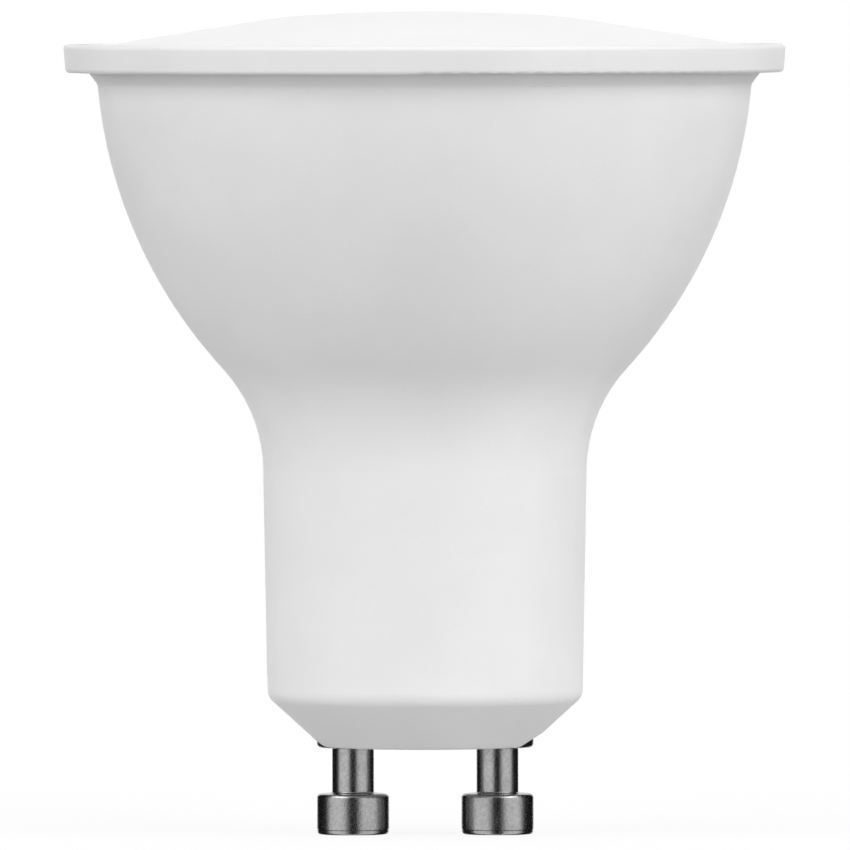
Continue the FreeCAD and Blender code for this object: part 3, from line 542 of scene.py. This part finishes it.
def glass_weave(nodes):
    """Weave of the glass cloth that shows through the board's lacquer."""
    axes = nodes.axes()
    across = nodes.waves(axes["X"], GLASS_WEAVE_PITCH)
    up = nodes.waves(axes["Z"], GLASS_WEAVE_PITCH)
    return nodes.math("MULTIPLY", across, up), GLASS_WEAVE_DEPTH


def light_package_plastic():
    """White package with a round yellow window over the light-giving chips."""
    material, nodes, shader = new_finish("light_package_plastic", {"IOR": 1.5})
    ring_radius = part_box("light_packages")[1].y
    axes = nodes.axes()
    step = 2 * math.pi / LED_COUNT
    turn = nodes.math("ARCTAN2", axes["Y"], axes["X"])
    turn = nodes.math("SUBTRACT", nodes.math("FLOORED_MODULO", turn, step), step / 2)
    radius = nodes.length(nodes.from_axis())
    away = nodes.math("SUBTRACT", radius, ring_radius - LED_LENGTH / 2)
    aside = nodes.math("MULTIPLY", turn, radius)
    offset = nodes.add("CombineXYZ", {"X": away, "Y": aside}).outputs[0]
    window = nodes.math("LESS_THAN", nodes.length(offset), LED_WINDOW_RADIUS)
    tone = nodes.noise(0.3 * MM, detail=3.0)
    white = nodes.tint(tone, 0.84, 0.90)
    phosphor = nodes.tint(tone, (0.88, 0.62, 0.06), (0.93, 0.70, 0.10))
    nodes.give(shader["Base Color"], nodes.blend(window, white, phosphor))
    nodes.give(shader["Roughness"], nodes.wander(tone, 0.35, 0.5))
    nodes.give(shader["Normal"], nodes.bump(tone, 0.004 * MM))
    return material


def capacitor_can(name, foot, top, radius, stripe_side):
    """Can in a dark shrunk film with a pale stripe, bare at its foot and with rubber round its leads."""
    material, nodes, shader = new_finish(name, {"IOR": 1.5})
    axis = (top - foot).normalized()
    length = (top - foot).length
    from_foot = nodes.vector("SUBTRACT", nodes.place(), foot)
    height = nodes.dot(from_foot, axis)
    out = nodes.vector("SUBTRACT", from_foot, nodes.vector("SCALE", axis, Scale=height))
    stripe = nodes.math("GREATER_THAN", nodes.dot(out, stripe_side), CAN_STRIPE_EDGE * radius)
    inside_rim = nodes.math("LESS_THAN", nodes.length(out), radius - CAN_COVER_RIM)
    bare_foot = nodes.math("MULTIPLY", inside_rim, nodes.math("LESS_THAN", height, CAN_COVER_DEPTH))
    past_film = nodes.math("GREATER_THAN", height, length - 2 * CAN_COVER_DEPTH)
    rubber = nodes.math("MULTIPLY", inside_rim, past_film)
    metal = nodes.math("MAXIMUM", bare_foot, nodes.math("GREATER_THAN", height, length))
    tone = nodes.noise(0.5 * MM, detail=3.0)
    film = nodes.tint(tone, (0.010, 0.014, 0.030), (0.020, 0.026, 0.050))
    colour = nodes.blend(stripe, film, nodes.tint(tone, 0.45, 0.55))
    colour = nodes.blend(rubber, colour, nodes.tint(tone, 0.02, 0.04))
    nodes.give(shader["Base Color"], nodes.blend(metal, colour, nodes.tint(tone, *ALUMINIUM)))
    nodes.give(shader["Metallic"], metal)
    nodes.give(shader["Roughness"], nodes.wander(tone, 0.25, 0.38))
    nodes.give(shader["Normal"], nodes.bump(tone, 0.006 * MM))
    return material


def input_can():
    low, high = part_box("input_capacitor")
    foot = Vector(((low.x + high.x) / 2, high.y - INPUT_CAN_RADIUS, low.z))
    top = foot + Vector((0, 0, INPUT_CAN_LENGTH))
    return capacitor_can("input_can", foot, top, INPUT_CAN_RADIUS, Vector((0, 1, 0)))


def output_can():
    low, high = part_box("output_capacitor")
    foot = Vector(((low.x + high.x) / 2, high.y, (low.z + high.z) / 2))
    top = Vector((foot.x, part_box("driver_board")[1].y, foot.z))
    return capacitor_can("output_can", foot, top, OUTPUT_CAN_RADIUS, Vector((0, 0, 1)))


def epoxy(name, node, reach):
    """Black moulded epoxy with bare metal at both ends along X."""
    black = ((0.012, 0.012, 0.014), (0.030, 0.030, 0.034))
    return surface(name, black, roughness=(0.45, 0.62), grain=0.12 * MM, depth=0.006 * MM,
                   metal=ends_along_x(node, reach))


def finishes():
    """The finish of each node of the lamp."""
    nickel = contact_nickel()
    green = ((0.010, 0.085, 0.030), (0.018, 0.120, 0.045))
    yellow = ((0.42, 0.20, 0.010), (0.50, 0.26, 0.018))
    coat = ((0.12, 0.20, 0.23), (0.18, 0.27, 0.31))
    zinc = ((0.42, 0.43, 0.45), (0.62, 0.63, 0.65))
    copper = ((0.36, 0.09, 0.022), (0.56, 0.18, 0.05))
    red = ((0.30, 0.008, 0.006), (0.40, 0.014, 0.010))
    black = ((0.006, 0.006, 0.007), (0.016, 0.016, 0.018))
    ferrite = ((0.022, 0.022, 0.025), (0.045, 0.045, 0.050))
    resist = ((0.78, 0.78, 0.75), (0.86, 0.86, 0.83))
    return {
        "housing": satin_white_plastic(),
        "diffuser": opal_plastic(),
        "contact_pin_left": nickel,
        "contact_pin_right": nickel,
        "heat_spreader": surface(
            "pressed_aluminium", ALUMINIUM, roughness=(0.30, 0.42), grain=1.2 * MM, depth=0.006 * MM,
            metallic=1.0, relief=drawn_rings),
        "light_board": surface(
            "white_resist", resist, roughness=(0.30, 0.42), grain=1.5 * MM, depth=0.003 * MM,
            metal=below_board_face, metal_shades=ALUMINIUM),
        "light_packages": light_package_plastic(),
        "board_screws": surface(
            "zinc_steel", zinc, roughness=(0.24, 0.40), grain=0.4 * MM, depth=0.005 * MM,
            metallic=1.0, relief=screw_thread),
        "driver_board": surface(
            "green_board", green, roughness=(0.28, 0.40), grain=1.2 * MM, depth=0.002 * MM,
            relief=glass_weave),
        "fusible_resistor": surface(
            "resistor_coat", coat, roughness=(0.45, 0.60), grain=0.25 * MM, depth=0.020 * MM,
            metal=past_sleeve),
        "fuse_sleeve": surface(
            "shrunk_sleeve", black, roughness=(0.40, 0.55), grain=0.8 * MM, depth=0.030 * MM),
        "neutral_wire": surface(
            "tinned_copper", TIN, roughness=(0.26, 0.42), grain=0.4 * MM, depth=0.010 * MM,
            metallic=1.0),
        "input_capacitor": input_can(),
        "output_capacitor": output_can(),
        "film_capacitor": surface(
            "film_box", yellow, roughness=(0.32, 0.46), grain=0.3 * MM, depth=0.006 * MM,
            metal=from_board_back),
        "choke_core": surface(
            "ferrite", ferrite, roughness=(0.50, 0.70), grain=0.15 * MM, depth=0.015 * MM,
            metal=from_board_back),
        "choke_winding": surface(
            "enamelled_copper", copper, roughness=(0.22, 0.34), grain=0.5 * MM, depth=0.010 * MM,
            metallic=1.0, relief=wire_turns),
        "bridge_rectifier": epoxy("rectifier_epoxy", "bridge_rectifier", PART_LEG_REACH),
        "driver_chip": epoxy("chip_epoxy", "driver_chip", PART_LEG_REACH),
        "output_diode": epoxy("diode_epoxy", "output_diode", PART_LEG_REACH),
        "chip_resistors": epoxy("chip_resistor_glaze", "chip_resistors", CHIP_RESISTOR_CAP),
        "lead_wire_positive": surface(
            "red_insulation", red, roughness=(0.34, 0.46), grain=0.6 * MM, depth=0.012 * MM,
            metal=bare_wire_end("lead_wire_positive")),
        "lead_wire_negative": surface(
            "black_insulation", black, roughness=(0.34, 0.46), grain=0.6 * MM, depth=0.012 * MM,
            metal=bare_wire_end("lead_wire_negative")),
    }


def dress(node, material):
    for slot in bpy.data.objects[node].material_slots:
        slot.material = material


def main():
    photo_camera()
    studio()
    for node, material in finishes().items():
        dress(node, material)
    bpy.context.scene.view_settings.view_transform = "Standard"


main()
